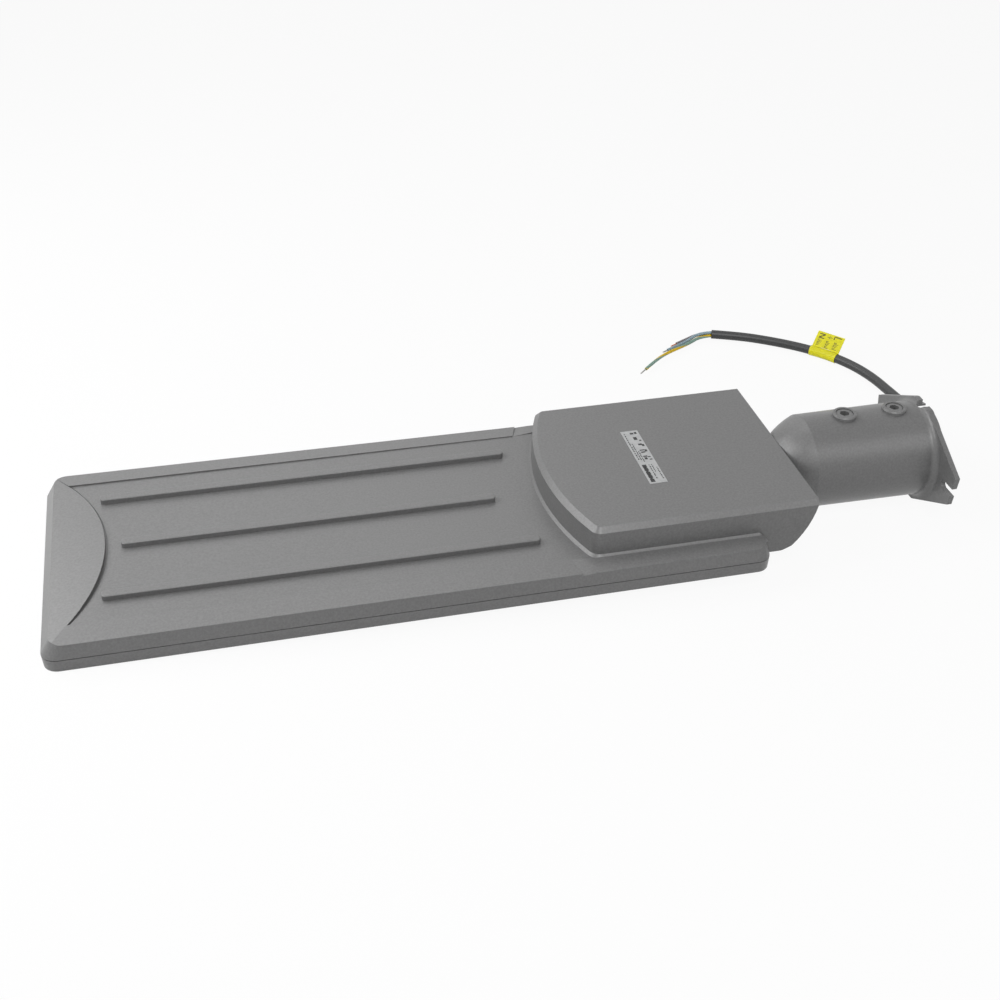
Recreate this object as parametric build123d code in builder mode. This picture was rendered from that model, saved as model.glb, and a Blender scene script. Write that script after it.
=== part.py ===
import os
from math import cos, pi, radians, sin, tan

from build123d import *

os.makedirs("parts", exist_ok=True)

# Frame: origin at the centre of the pole socket's mouth, on the flange's outer face.
# +X runs out of the socket towards the pole, +Z is the top of the lamp. All sizes in mm.

# Body shell, seen from above
body_tip_x = -602.7        # far end of the body, at the parting line
body_tail_x = -148.2       # end of the body beside the driver compartment
body_width = 186.0
body_half = body_width / 2
body_corner = 10.0
body_corner_top = 8.0      # smaller at the blank's top, above the top surfaces
base_z = -17.7             # underside of the lower frame
parting_z = -9.3           # joint between housing and lower frame
tip_draft = 0.61           # how far each wall leans in, per mm of height
tail_draft = 0.24
side_draft_far = 0.16      # the side walls stand steep at the tip
side_draft_near = 0.46     # and lean back towards the compartment

# Top surface: sunk main panel, sloping borders, sloping end panel
panel_inset = 37.7         # these insets are measured from the body's far end
panel_far_x = body_tip_x + panel_inset
panel_far_z = 1.0
panel_near_x = -280.0
panel_near_z = -0.3
border_width = 16.0
border_edge_y = body_half - 1.5
border_inner_y = border_edge_y - border_width
border_inset = 16.2
border_start_x = body_tip_x + border_inset
border_far_z = 2.2
border_near_z = 0.3
border_end_skew = 4.5      # the borders end on a slanted line
border_end_run = 13.2
edge_inset = 5.7
edge_far_x = body_tip_x + edge_inset
edge_far_z = 0.3
arc_reach = 23.2           # the end panel stops on an arc
arc_apex_x = border_start_x + arc_reach
arc_apex_z = 4.2
arc_groove_width = 1.3     # a groove runs along the arc
arc_groove_depth = 0.7
strip_start_x = -258.0     # strips beside the compartment: their inner line
strip_foot_gap = 1.0       # the strips start this far outside the compartment's wall
strip_start_z = 0.4
strip_tail_z = 0.5
strip_outer_z = -4.1       # reached beyond the body's edge

# Bars on the main panel
bar_width = 6.5
bar_height = 3.7
bar_pitch = 52.5
bar_round = 2.4
bar_edge = 0.7
bar_root = 1.5             # how far a bar is sunk into the panel
outer_bar_inset = 36.7
middle_bar_inset = 49.2
outer_bar_ends = (body_tip_x + outer_bar_inset, -293.0)
middle_bar_ends = (body_tip_x + middle_bar_inset, -310.5)

# Driver compartment
hump_top_z = 19.8
hump_bottom_z = -15.0
hump_side_gap = 15.8       # from the compartment's side to the body's side
hump_half = body_half - hump_side_gap # half width at its bottom
strip_inner_y = hump_half + strip_foot_gap
hump_apex_x = -280.4
hump_front_radius = 191.0
hump_corner = 8.0
hump_draft = 2.6           # degrees
hump_chamfer = 3.2
foot_top_z = 1.4           # chamfered foot round it, from here down into the body
foot_base_z = -3.0
foot_slope = 45.0
rear_top_x = -112.9
rear_mid = (-118.3, 3.0)
rear_low = (-129.5, -12.3)
rear_flat_x = -136.0
rear_round = 8.0
rear_spare = 6.0           # length beyond the curved rear that is cut away
tail_gap = 0.2             # the compartment's low part clears the lower frame by this

# Neck and pole socket
socket_length = 93.0       # from its mouth to the neck's shoulder
spigot_mouth_r = 33.4
spigot_root_r = 32.7
bore_r = 30.5
bore_depth = 78.0
neck_bend = (-106.2, 25.0) # the neck's rounded shoulder passes here: x, radius
neck_foot_x = -117.0
neck_foot_r = 14.2
neck_end_x = -135.0
neck_floor_x = -108.0
neck_floor_r = 17.8

# Flange with two slotted ears, and the notch in the socket's crown
rim_length = 2.9           # a thin rim of the socket stands out of the flange by this
rim_r = 31.9
flange_thick = 3.5
ear_y = 58.3               # end of an ear at its top
ear_low_y = 54.8           # and at its bottom
ear_top_z = 9.3
ear_low_z = -13.3
flange_corner_y = 10.5
flange_top_z = 35.2
flange_low_z = -37.3
crown_round = 6.0
ear_round = 3.0
slot_width = 6.6
slot_bottom_y = 42.4
slot_z = -2.9
flare = 4.4                # radius of the hollow round between spigot and flange
notch_width = 9.5
notch_length = 9.5

# Set screws in raised bosses
boss_x = (-64.0, -27.0)
boss_r = 8.5
boss_top_z = 35.3
boss_chamfer = 0.8
set_screw_r = 6.0
set_screw_length = 12.0
set_screw_sink = 0.5
set_screw_edge = 0.5
set_screw_hex = 6.0
set_screw_hex_depth = 5.0

# Walls and inner spaces
wall = 3.4
chamber_half = body_half - 5.5
roof_z = -3.6
chamber_tip_x = body_tip_x + 7.2
partition_x = -287.0
partition_thick = 4.0
lower_space_tail_x = -158.5
hump_wall = 3.9
hump_roof = 3.2
floor_thick = 3.0
sill_z = -5.5
sill_x = -144.5
inner_bend = (0.7, 1.5)     # the inner rear face bends this far from the outer one
inner_low_rise = 0.4
inner_flat_shift = 1.0
gland_boss_r = 14.0
cut_over = 5.0             # how far a cut runs past what it cuts
gland_thread_r = 8.0

# Lower frame, window and glass
frame_plate = 2.5
frame_base_inset = 0.5
groove_height = 0.5
groove_depth = 1.2
gasket_inset = 2.3
gasket_width = 2.0
gasket_height = 1.5
window_inset = 24.2
window_x = (body_tip_x + window_inset, -301.0)
window_half = body_half - 20.5
window_corner = 6.0
glass_lap = 6.0
glass_thick = 3.5
glass_gasket_thick = 0.8
glass_corner = 4.0
crossbar = 8.0

# Screws that hold the lower frame
pillar_r = 4.0
frame_post_r = 4.5
pillar_y = body_half - 9.0
pillar_inset = 12.2
pillar_x = (body_tip_x + pillar_inset, -490.0, -390.0, -287.0, -222.0, -163.0)
frame_screw_r = 2.0
frame_head_r = 3.4
frame_head_h = 2.2
frame_head_sink = 0.2
frame_hex = 2.5
frame_screw_tip_z = -5.8
screw_gap = 0.2            # clearance round a screw where it only passes through
head_socket_share = 0.6    # depth of a head's hex socket, as a share of the head
roof_hex = 2.85
earth_hex = 3.0

# Glass clips
clip_x = (-540.0, -440.0, -340.0)
clip_y = body_half - 9.5
clip_width = 9.0
clip_thick = 0.8
clip_bite = 4.0            # how far the finger reaches over the glass
clip_boss_r = 3.5
clip_screw_r = 1.25
clip_screw_bite = 3.2
clip_head_r = 2.4
clip_head_h = 1.4

# Light board, packages and lenses
board_thick = 1.6
board_inset = 25.7
board_x = (body_tip_x + board_inset, -298.0)
board_half = body_half - 18.0
led_size = 3.5
led_thick = 0.7
led_pitch_x = 22.5
led_pitch_y = 27.0
led_edge = 14.0            # from the board's end to its first column, at least
led_columns = int((board_x[1] - board_x[0] - 2 * led_edge) / led_pitch_x) + 1
led_rows = 5
lens_sheet_inset = 28.7
lens_sheet_x = (body_tip_x + lens_sheet_inset, -308.0)
lens_sheet_half = board_half - 3.0
lens_gap = 0.4
lens_thick = 1.2
lens_r = 6.5
lens_height = 2.6
lens_draft = 35.0
post_r = 3.6
post_y = board_half - 8.0
post_x = (body_tip_x + 36.7, -437.5, -313.0)
board_screw_r = 1.5
board_head_r = 2.8
board_head_h = 1.6
board_screw_bite = 2.0

# Driver, surge protector and terminals, all on the compartment's roof
driver_x = (-260.0, -142.0)
driver_width = 58.0
driver_side_gap = 11.2      # from the driver to the outside of the compartment's side
driver_y = (driver_side_gap - hump_half, driver_side_gap - hump_half + driver_width)
driver_height = 21.0
driver_ear = 8.0
driver_edge = 2.0
ear_width = 14.0
ear_thick = 2.5
roof_screw_r = 1.9
roof_head_r = 3.4
roof_head_h = 2.0
roof_screw_bite = 2.0
surge_x = (-252.0, -208.0)
surge_y = (18.0, 46.0)
surge_height = 20.0
surge_ear = 8.0
surge_edge = 1.5
terminal_x = (-190.0, -154.0)
terminal_y = (22.0, 44.0)
terminal_height = 13.0
terminal_ear = 8.0
terminal_edge = 1.0
terminal_ways = 3
terminal_pitch = 12.0
way_r = 1.7
way_depth = 8.0
way_upper = 6.5            # wire entries, measured down from the compartment's roof
way_lower = 10.5
way_step = 4.0
clamp_screw_r = 1.8
clamp_screw_sink = 0.6

# Earth screw on a cast boss, and the pressure vent in the lower frame's floor
earth_point = (-205.0, hump_half - 15.2)
earth_boss_r = 4.5
earth_boss_h = 6.0
earth_screw_r = 2.0
earth_head_r = 3.8
earth_head_h = 2.6
earth_screw_bite = 5.0
vent_point = (-195.0, -40.0)
vent_r = 5.0
vent_flange_r = 7.5
vent_flange_h = 1.2
vent_nut_r = 7.0
vent_nut_h = 2.5

# Rating label
label_x = (-214.0, -201.8)
label_half = 33.0
label_thick = 0.2

# Cable gland and its lock nut
cable_r = 3.7
gland_mouth_x = -93.0
gland_tail_x = -142.0
gland_grip_x = -114.0      # the bore holds the cable up to here, then flares
gland_flare = 1.2
gland_collar_r = 12.0
gland_collar_x = -103.5
gland_dome_r = 9.0
gland_nose_r = 7.0
nut_thick = 5.0
nut_across = 22.0

# Supply cable: the route's points, each run straight, each corner an arc
cable_route = [
    (-127.0, 0.0, 0.0),
    (-103.0, 0.0, 0.0),
    (-80.0, 0.0, -1.0),
    (-56.0, -4.0, -6.5),
    (-33.0, -6.5, -12.5),
    (-9.0, -4.5, -17.0),
    (15.0, 4.0, -23.0),
    (34.0, 20.0, -29.5),
    (43.5, 45.0, -31.8),
    (46.0, 74.0, -32.0),
    (45.5, 100.0, -31.9),
    (42.4, 122.0, -31.9),
    (39.0, 150.0, -31.8),
    (30.5, 174.0, -31.5),
    (16.3, 194.6, -31.1),
    (-1.4, 211.2, -30.7),
    (-21.5, 224.9, -30.1),
    (-43.5, 236.6, -29.4),
    (-64.9, 243.8, -28.9),
]

# Flag tag, folded round the cable at one corner of its route
tag_corner_index = 14
tag_length = 24.0
tag_gap = 0.05
tag_thick = 0.4
tag_reach = 18.2           # from the cable's centre to the flag's outer edge
tag_lean = 46.0            # degrees up from level

# Stripped cores beyond the sheath
core_r = 1.3
copper_r = 0.6
brown_route = [
    (-64.6, 245.1, -29.65),
    (-75.4, 248.2, -29.9),
    (-87.2, 242.8, -30.6),
    (-98.5, 236.4, -30.3),
]
blue_route = [
    (-65.1, 243.85, -27.4),
    (-75.8, 246.0, -27.9),
    (-88.2, 238.7, -30.2),
    (-100.5, 231.9, -30.2),
    (-109.5, 226.9, -30.0),
]
earth_route = [
    (-65.62, 242.65, -29.65),
    (-75.6, 243.6, -30.2),
    (-87.0, 235.7, -30.6),
    (-101.0, 228.0, -30.2),
    (-115.0, 219.8, -29.8),
    (-127.0, 209.6, -29.5),
    (-137.8, 198.6, -29.2),
]
brown_copper = 7.0
blue_copper = 6.0
earth_copper = 9.5

# Leads inside the lamp
lead_r = 1.0
lead_bend = 3.0
lead_straight = 5.0
inner_core_start_x = -127.0
inner_core_spread = 1.5
led_lead_y = (-39.0, -35.0)
lead_notch_y = (-44.0, -30.0)
lead_notch_top_z = -5.3
driver_lead_z = 0.0
led_lead_drop = 12.0       # the light board's leads come down over this length
bend_share = 0.45          # the part of a straight run that a corner's arc may use

pillar_points = [(x, side * pillar_y) for x in pillar_x for side in (1, -1)]
pillar_points += [(pillar_x[0], 0.0), (partition_x, 0.0)]
board_points = [(x, side * post_y) for x in post_x for side in (1, -1)]
clip_points = [(x, side) for x in clip_x for side in (1, -1)]
hump_roof_z = hump_top_z - hump_roof
driver_mid_y = (driver_y[0] + driver_y[1]) / 2
surge_mid_y = (surge_y[0] + surge_y[1]) / 2
terminal_mid_y = (terminal_y[0] + terminal_y[1]) / 2
roof_screw_points = [
    (driver_x[0] - driver_ear / 2, driver_mid_y),
    (driver_x[1] + driver_ear / 2, driver_mid_y),
    (surge_x[0] - surge_ear / 2, surge_mid_y),
    (surge_x[1] + surge_ear / 2, surge_mid_y),
    (terminal_x[0] - terminal_ear / 2, terminal_mid_y),
    (terminal_x[1] + terminal_ear / 2, terminal_mid_y),
]
way_x = [
    (terminal_x[0] + terminal_x[1]) / 2 + (k - (terminal_ways - 1) / 2) * terminal_pitch
    for k in range(terminal_ways)
]
blank_top_z = 8.0          # the shell is cut down from this height to its top surfaces
blank_rise = blank_top_z - parting_z
cut_from_z = -6.0
far_beyond = 40.0
mitre_over = 9.0           # how far the mitre lines run past the body's edge
across = 50.0


def plan_outline(tip, tail, half_far, half_near, radius):
    """Four-sided outline in plan with rounded corners, narrower or wider at the tail."""
    with BuildSketch() as sketch:
        with BuildLine():
            Polyline((tip, -half_far), (tail, -half_near), (tail, half_near), (tip, half_far), close=True)
        make_face()
        if radius > 0:
            fillet(sketch.vertices(), radius)
    return sketch.sketch


def hump_outline(inset, rear_x):
    """Driver compartment in plan: a bowed front, straight sides and an open rear."""
    half = hump_half - inset
    apex = hump_apex_x + inset
    radius = hump_front_radius - inset
    shoulder = apex + radius - (radius**2 - half**2) ** 0.5
    with BuildSketch() as sketch:
        with BuildLine():
            ThreePointArc((shoulder, half), (apex, 0), (shoulder, -half))
            Polyline((shoulder, -half), (rear_x, -half), (rear_x, half), (shoulder, half))
        make_face()
        front = sketch.vertices().group_by(Axis.X)[0]
        fillet(front, max(hump_corner - inset, 2.0))
    return sketch.sketch


def plane_through(first, second, third):
    """Plane through three points, facing up."""
    a, b, c = Vector(*first), Vector(*second), Vector(*third)
    normal = (b - a).cross(c - a)
    if normal.Z < 0:
        normal = normal * -1
    return Plane(origin=a, x_dir=b - a, z_dir=normal)


def above(outline, surface):
    """The block over an outline that lies above a sloping surface."""
    with BuildPart() as block:
        with BuildSketch(Plane.XY.offset(cut_from_z)):
            add(outline)
        extrude(amount=blank_top_z + cut_over - cut_from_z, dir=(0, 0, 1))
        split(bisect_by=surface, keep=Keep.TOP)
    return block.part


# Top surfaces of the shell
main_plane = plane_through(
    (panel_far_x, 0, panel_far_z), (panel_near_x, 0, panel_near_z), (panel_far_x, across, panel_far_z)
)
end_plane = plane_through(
    (edge_far_x, 0, edge_far_z), (arc_apex_x, 0, arc_apex_z), (edge_far_x, across, edge_far_z)
)
mitre = Vector(edge_far_x - border_start_x, border_edge_y - border_inner_y)
mitre_reach = mitre_over / mitre.Y
mitre_out = (edge_far_x + mitre.X * mitre_reach, border_edge_y + mitre_over)
skew_out = (border_end_skew / border_end_run) * (mitre_out[1] - border_inner_y)


def border_plane(side):
    """Border surface: falls from its inner edge to the body's edge."""
    return plane_through(
        (border_start_x, side * border_inner_y, border_far_z),
        (panel_near_x, side * border_inner_y, border_near_z),
        (edge_far_x, side * border_edge_y, edge_far_z),
    )


def twist_plane(side):
    """Three-cornered start of the strip: rises from the main panel's corner to the strip."""
    return plane_through(
        (panel_near_x, side * border_inner_y, panel_near_z),
        (strip_start_x, side * strip_inner_y, strip_start_z),
        (panel_near_x + skew_out, side * mitre_out[1], strip_outer_z),
    )


def strip_plane(side):
    """Strip beside the compartment: falls from the compartment's foot to the edge."""
    return plane_through(
        (strip_start_x, side * strip_inner_y, strip_start_z),
        (body_tail_x, side * strip_inner_y, strip_tail_z),
        (panel_near_x + skew_out, side * mitre_out[1], strip_outer_z),
    )


def end_outline():
    """End panel in plan: the far end up to the arc and the two mitre lines."""
    with BuildSketch() as sketch:
        with BuildLine():
            ThreePointArc(
                (border_start_x, -border_inner_y), (arc_apex_x, 0), (border_start_x, border_inner_y)
            )
            Polyline(
                (border_start_x, border_inner_y),
                mitre_out,
                (body_tip_x - far_beyond, mitre_out[1]),
                (body_tip_x - far_beyond, -mitre_out[1]),
                (mitre_out[0], -mitre_out[1]),
                (border_start_x, -border_inner_y),
            )
        make_face()
    return sketch.sketch


def main_outline():
    """Main panel in plan, carried on under the compartment."""
    tail = body_tail_x + far_beyond
    with BuildSketch() as sketch:
        with BuildLine():
            ThreePointArc(
                (border_start_x, -border_inner_y), (arc_apex_x, 0), (border_start_x, border_inner_y)
            )
            Polyline(
                (border_start_x, border_inner_y),
                (panel_near_x, border_inner_y),
                (strip_start_x, strip_inner_y),
                (tail, strip_inner_y),
                (tail, -strip_inner_y),
                (strip_start_x, -strip_inner_y),
                (panel_near_x, -border_inner_y),
                (border_start_x, -border_inner_y),
            )
        make_face()
    return sketch.sketch


def groove_outline():
    """Groove in plan, along the arc on the main panel's side."""
    ends_x = border_start_x + arc_groove_width
    with BuildSketch() as sketch:
        with BuildLine():
            ThreePointArc(
                (border_start_x, -border_inner_y), (arc_apex_x, 0), (border_start_x, border_inner_y)
            )
            Line((border_start_x, border_inner_y), (ends_x, border_inner_y))
            ThreePointArc(
                (ends_x, border_inner_y), (arc_apex_x + arc_groove_width, 0), (ends_x, -border_inner_y)
            )
            Line((ends_x, -border_inner_y), (border_start_x, -border_inner_y))
        make_face()
    return sketch.sketch


def border_outline(side):
    """Border in plan, from the mitre to its slanted end."""
    with BuildSketch() as sketch:
        with BuildLine():
            Polyline(
                (border_start_x, side * border_inner_y),
                (panel_near_x, side * border_inner_y),
                (panel_near_x + skew_out, side * mitre_out[1]),
                (mitre_out[0], side * mitre_out[1]),
                close=True,
            )
        make_face()
    return sketch.sketch


def twist_outline(side):
    """Start of the strip in plan."""
    with BuildSketch() as sketch:
        with BuildLine():
            Polyline(
                (panel_near_x, side * border_inner_y),
                (strip_start_x, side * strip_inner_y),
                (panel_near_x + skew_out, side * mitre_out[1]),
                close=True,
            )
        make_face()
    return sketch.sketch


def strip_outline(side):
    """Strip beside the compartment in plan."""
    tail = body_tail_x + far_beyond
    with BuildSketch() as sketch:
        with BuildLine():
            Polyline(
                (strip_start_x, side * strip_inner_y),
                (tail, side * strip_inner_y),
                (tail, side * mitre_out[1]),
                (panel_near_x + skew_out, side * mitre_out[1]),
                close=True,
            )
        make_face()
    return sketch.sketch


cutters = [above(end_outline(), end_plane), above(main_outline(), main_plane)]
cutters.append(above(groove_outline(), main_plane.offset(-arc_groove_depth)))
for side in (1, -1):
    cutters.append(above(border_outline(side), border_plane(side)))
    cutters.append(above(twist_outline(side), twist_plane(side)))
    cutters.append(above(strip_outline(side), strip_plane(side)))

# Bars on the main panel
bar_surface = main_plane.offset(bar_height)
bars = []
for lane in (-1, 0, 1):
    start, end = middle_bar_ends if lane == 0 else outer_bar_ends
    with BuildPart() as bar:
        with BuildSketch(Plane.XY.offset(panel_near_z - bar_root)):
            with Locations(((start + end) / 2, lane * bar_pitch)):
                RectangleRounded(end - start, bar_width, bar_round)
        extrude(amount=blank_top_z)
        split(bisect_by=bar_surface, keep=Keep.BOTTOM)
        fillet(bar.faces().sort_by(Axis.Z)[-1].edges(), bar_edge)
    bars.append(bar.part)

# Driver compartment, outside
with BuildPart() as compartment:
    with BuildSketch(Plane.XY.offset(hump_bottom_z)):
        add(hump_outline(0, rear_top_x + rear_spare))
    extrude(amount=hump_top_z - hump_bottom_z, taper=hump_draft)
    with BuildSketch(Plane.XZ.offset(-body_width)) as side_view:
        with BuildLine():
            Polyline(
                (rear_top_x, hump_top_z),
                (hump_apex_x - far_beyond, hump_top_z),
                (hump_apex_x - far_beyond, parting_z),
                (body_tail_x + tail_gap, parting_z),
                (body_tail_x + tail_gap, hump_bottom_z),
                (rear_flat_x, hump_bottom_z),
                rear_low,
            )
            ThreePointArc(rear_low, rear_mid, (rear_top_x, hump_top_z))
        make_face()
        corner = side_view.vertices().sort_by_distance(Vector(rear_flat_x, hump_bottom_z, 0))[0]
        fillet(corner, rear_round)
    extrude(amount=2 * body_width, dir=(0, -1, 0), mode=Mode.INTERSECT)
    crown = compartment.faces().filter_by(Axis.Z).sort_by(Axis.Z)[-1]
    chamfer(crown.edges().sort_by(Axis.X)[:-1], hump_chamfer)

# Chamfered foot that the compartment stands on
foot_height = foot_top_z - foot_base_z
foot_inset = (foot_top_z - hump_bottom_z) * tan(radians(hump_draft)) - foot_height * tan(radians(foot_slope))
with BuildPart() as compartment_foot:
    with BuildSketch(Plane.XY.offset(foot_base_z)):
        add(hump_outline(foot_inset, body_tail_x - tail_gap))
    extrude(amount=foot_height, taper=foot_slope)


def flange_outline():
    """Flange seen along the socket: a crown, a foot and two ears, without their slots."""
    with BuildSketch() as sketch:
        with BuildLine():
            Polyline(
                (ear_y, ear_top_z),
                (flange_corner_y, flange_top_z),
                (-flange_corner_y, flange_top_z),
                (-ear_y, ear_top_z),
                (-ear_low_y, ear_low_z),
                (-flange_corner_y, flange_low_z),
                (flange_corner_y, flange_low_z),
                (ear_low_y, ear_low_z),
                close=True,
            )
        make_face()
        low, ear_low, ear_top, top = sketch.vertices().group_by(Axis.Y)
        fillet(low + top, crown_round)
        fillet(ear_low + ear_top, ear_round)
    return sketch.sketch


# Neck, spigot and flange, outside
flange_x = -rim_length - flange_thick
flare_turn = flare * sin(radians(45))
flare_mid = (flange_x - flare + flare_turn, spigot_mouth_r + flare - flare_turn)
with BuildPart() as flared_foot:
    with BuildSketch(Plane.XZ):
        with BuildLine():
            Polyline((flange_x - flare, spigot_mouth_r), (flange_x - flare, 0), (flange_x, 0))
            Line((flange_x, 0), (flange_x, spigot_mouth_r + flare))
            ThreePointArc(
                (flange_x, spigot_mouth_r + flare), flare_mid, (flange_x - flare, spigot_mouth_r)
            )
        make_face()
    revolve(axis=Axis.X)
    with BuildSketch(Plane.YZ.offset(flange_x - flare)):
        add(flange_outline())
    extrude(amount=flare, dir=(1, 0, 0), mode=Mode.INTERSECT)

with BuildPart() as neck:
    with BuildSketch(Plane.XZ):
        with BuildLine():
            Polyline((neck_end_x, 0), (0, 0), (0, rim_r), (-rim_length, rim_r))
            Polyline((-rim_length, rim_r), (-rim_length, spigot_mouth_r), (-socket_length, spigot_root_r))
            ThreePointArc((-socket_length, spigot_root_r), neck_bend, (neck_foot_x, neck_foot_r))
            Polyline((neck_foot_x, neck_foot_r), (neck_end_x, neck_foot_r), (neck_end_x, 0))
        make_face()
    revolve(axis=Axis.X)
    with BuildSketch(Plane.YZ.offset(flange_x)):
        add(flange_outline())
        with Locations((ear_y, slot_z), (-ear_y, slot_z)):
            SlotOverall(2 * (ear_y - slot_bottom_y), slot_width, mode=Mode.SUBTRACT)
    extrude(amount=flange_thick)
    add(flared_foot.part)
    for x in boss_x:
        with BuildSketch(Plane.XY):
            with Locations((x, 0)):
                Circle(boss_r)
        extrude(amount=boss_top_z)
    boss_rims = neck.faces().filter_by(Axis.Z).group_by(Axis.Z)[-1].edges()
    chamfer(boss_rims, boss_chamfer)

# Inner spaces of the housing
with BuildPart() as light_chamber:
    with BuildSketch(Plane.XY.offset(parting_z)):
        add(
            plan_outline(
                chamber_tip_x, partition_x - partition_thick / 2, chamber_half, chamber_half, body_corner / 2
            )
        )
    extrude(amount=roof_z - parting_z)

with BuildPart() as lower_space:
    with BuildSketch(Plane.XY.offset(parting_z)):
        add(
            plan_outline(
                partition_x + partition_thick / 2, lower_space_tail_x, chamber_half, chamber_half, body_corner / 2
            )
        )
    extrude(amount=roof_z - parting_z)

with BuildPart() as driver_space:
    with BuildSketch(Plane.XY.offset(hump_bottom_z)):
        add(hump_outline(hump_wall, rear_top_x))
    extrude(amount=hump_top_z - hump_bottom_z, taper=hump_draft)
    with BuildSketch(Plane.XZ.offset(-body_width)):
        with BuildLine():
            Polyline(
                (hump_apex_x - far_beyond, hump_top_z - hump_roof),
                (rear_top_x - hump_wall, hump_top_z - hump_roof),
                (rear_mid[0] - hump_wall + inner_bend[0], rear_mid[1] + inner_bend[1]),
                (rear_low[0] - hump_wall / 2, rear_low[1] + hump_wall + inner_low_rise),
                (rear_flat_x + inner_flat_shift, hump_bottom_z + floor_thick),
                (sill_x, hump_bottom_z + floor_thick),
                (sill_x, sill_z),
                (lower_space_tail_x, sill_z),
                (lower_space_tail_x, parting_z),
                (hump_apex_x - far_beyond, parting_z),
                close=True,
            )
        make_face()
    extrude(amount=2 * body_width, dir=(0, -1, 0), mode=Mode.INTERSECT)

with BuildPart() as socket_space:
    with BuildSketch(Plane.XZ):
        with BuildLine():
            Polyline(
                (0, 0),
                (0, bore_r),
                (-bore_depth, bore_r),
                (neck_floor_x, neck_floor_r),
                (neck_floor_x, 0),
                close=True,
            )
        make_face()
    revolve(axis=Axis.X)

# Upper housing: one casting
with BuildPart() as upper_housing:
    with BuildSketch(Plane.XY.offset(parting_z)):
        add(plan_outline(body_tip_x, body_tail_x, body_half, body_half, body_corner))
    with BuildSketch(Plane.XY.offset(blank_top_z)):
        add(
            plan_outline(
                body_tip_x + tip_draft * blank_rise,
                body_tail_x - tail_draft * blank_rise,
                body_half - side_draft_far * blank_rise,
                body_half - side_draft_near * blank_rise,
                body_corner_top,
            )
        )
    loft(ruled=True)
    for cutter in cutters:
        add(cutter, mode=Mode.SUBTRACT)
    for bar in bars:
        add(bar)
    add(compartment_foot.part)
    add(compartment.part)
    add(neck.part)
    add(light_chamber.part, mode=Mode.SUBTRACT)
    add(lower_space.part, mode=Mode.SUBTRACT)
    add(driver_space.part, mode=Mode.SUBTRACT)
    with BuildSketch(Plane.YZ.offset(neck_end_x)):
        Circle(gland_boss_r)
    extrude(amount=neck_floor_x - neck_end_x)
    add(socket_space.part, mode=Mode.SUBTRACT)
    # thread hole for the gland
    with BuildSketch(Plane.YZ.offset(neck_end_x)):
        Circle(gland_thread_r)
    extrude(amount=neck_floor_x - neck_end_x, mode=Mode.SUBTRACT)
    # holes for the set screws
    with BuildSketch(Plane.XY):
        with Locations([(x, 0) for x in boss_x]):
            Circle(set_screw_r)
    extrude(amount=boss_top_z + cut_over, mode=Mode.SUBTRACT)
    # notch in the crown of the socket's mouth
    with BuildSketch(Plane.XY):
        SlotOverall(2 * notch_length, notch_width)
    extrude(amount=boss_top_z + cut_over, mode=Mode.SUBTRACT)
    # pillars for the frame screws, with blind holes from below
    with BuildSketch(Plane.XY.offset(parting_z)):
        with Locations(pillar_points):
            Circle(pillar_r)
    extrude(amount=roof_z - parting_z)
    with BuildSketch(Plane.XY.offset(parting_z)):
        with Locations(pillar_points):
            Circle(frame_screw_r)
    extrude(amount=frame_screw_tip_z - parting_z, mode=Mode.SUBTRACT)
    # blind holes for the light board's screws
    with BuildSketch(Plane.XY.offset(roof_z)):
        with Locations(board_points):
            Circle(board_screw_r)
    extrude(amount=board_screw_bite, mode=Mode.SUBTRACT)
    # way for the leads through the partition
    with BuildSketch(Plane.XY.offset(parting_z)):
        with Locations((partition_x, (lead_notch_y[0] + lead_notch_y[1]) / 2)):
            Rectangle(partition_thick, lead_notch_y[1] - lead_notch_y[0])
    extrude(amount=lead_notch_top_z - parting_z, mode=Mode.SUBTRACT)
    # blind holes in the compartment's roof
    with BuildSketch(Plane.XY.offset(hump_roof_z)):
        with Locations(roof_screw_points):
            Circle(roof_screw_r)
    extrude(amount=roof_screw_bite, mode=Mode.SUBTRACT)
    # earth boss on the compartment's roof
    with BuildSketch(Plane.XY.offset(hump_roof_z - earth_boss_h)):
        with Locations(earth_point):
            Circle(earth_boss_r)
    extrude(amount=earth_boss_h)
    with BuildSketch(Plane.XY.offset(hump_roof_z - earth_boss_h)):
        with Locations(earth_point):
            Circle(earth_screw_r)
    extrude(amount=earth_screw_bite, mode=Mode.SUBTRACT)
upper_housing.part.label = "upper_housing"
export_step(upper_housing.part, "parts/upper_housing.step")


def set_screw(x):
    """Socket set screw in the boss at x."""
    top_z = boss_top_z - set_screw_sink
    with BuildPart() as screw:
        with BuildSketch(Plane.XY.offset(top_z)):
            with Locations((x, 0)):
                Circle(set_screw_r)
        extrude(amount=-set_screw_length)
        chamfer(screw.faces().sort_by(Axis.Z)[-1].edges(), set_screw_edge)
        with BuildSketch(Plane.XY.offset(top_z)):
            with Locations((x, 0)):
                RegularPolygon(set_screw_hex / 2, 6, major_radius=False)
        extrude(amount=-set_screw_hex_depth, mode=Mode.SUBTRACT)
    return screw.part


# Set screws in the two bosses
set_screw_inner = set_screw(boss_x[0])
set_screw_inner.label = "set_screw_inner"
export_step(set_screw_inner, "parts/set_screw_inner.step")
set_screw_outer = set_screw(boss_x[1])
set_screw_outer.label = "set_screw_outer"
export_step(set_screw_outer, "parts/set_screw_outer.step")

# Rating label on the compartment's top
with BuildPart() as rating_label:
    with BuildSketch(Plane.XY.offset(hump_top_z)):
        with Locations(((label_x[0] + label_x[1]) / 2, 0)):
            Rectangle(label_x[1] - label_x[0], 2 * label_half)
    extrude(amount=label_thick)
rating_label.part.label = "rating_label"
export_step(rating_label.part, "parts/rating_label.step")

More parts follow.
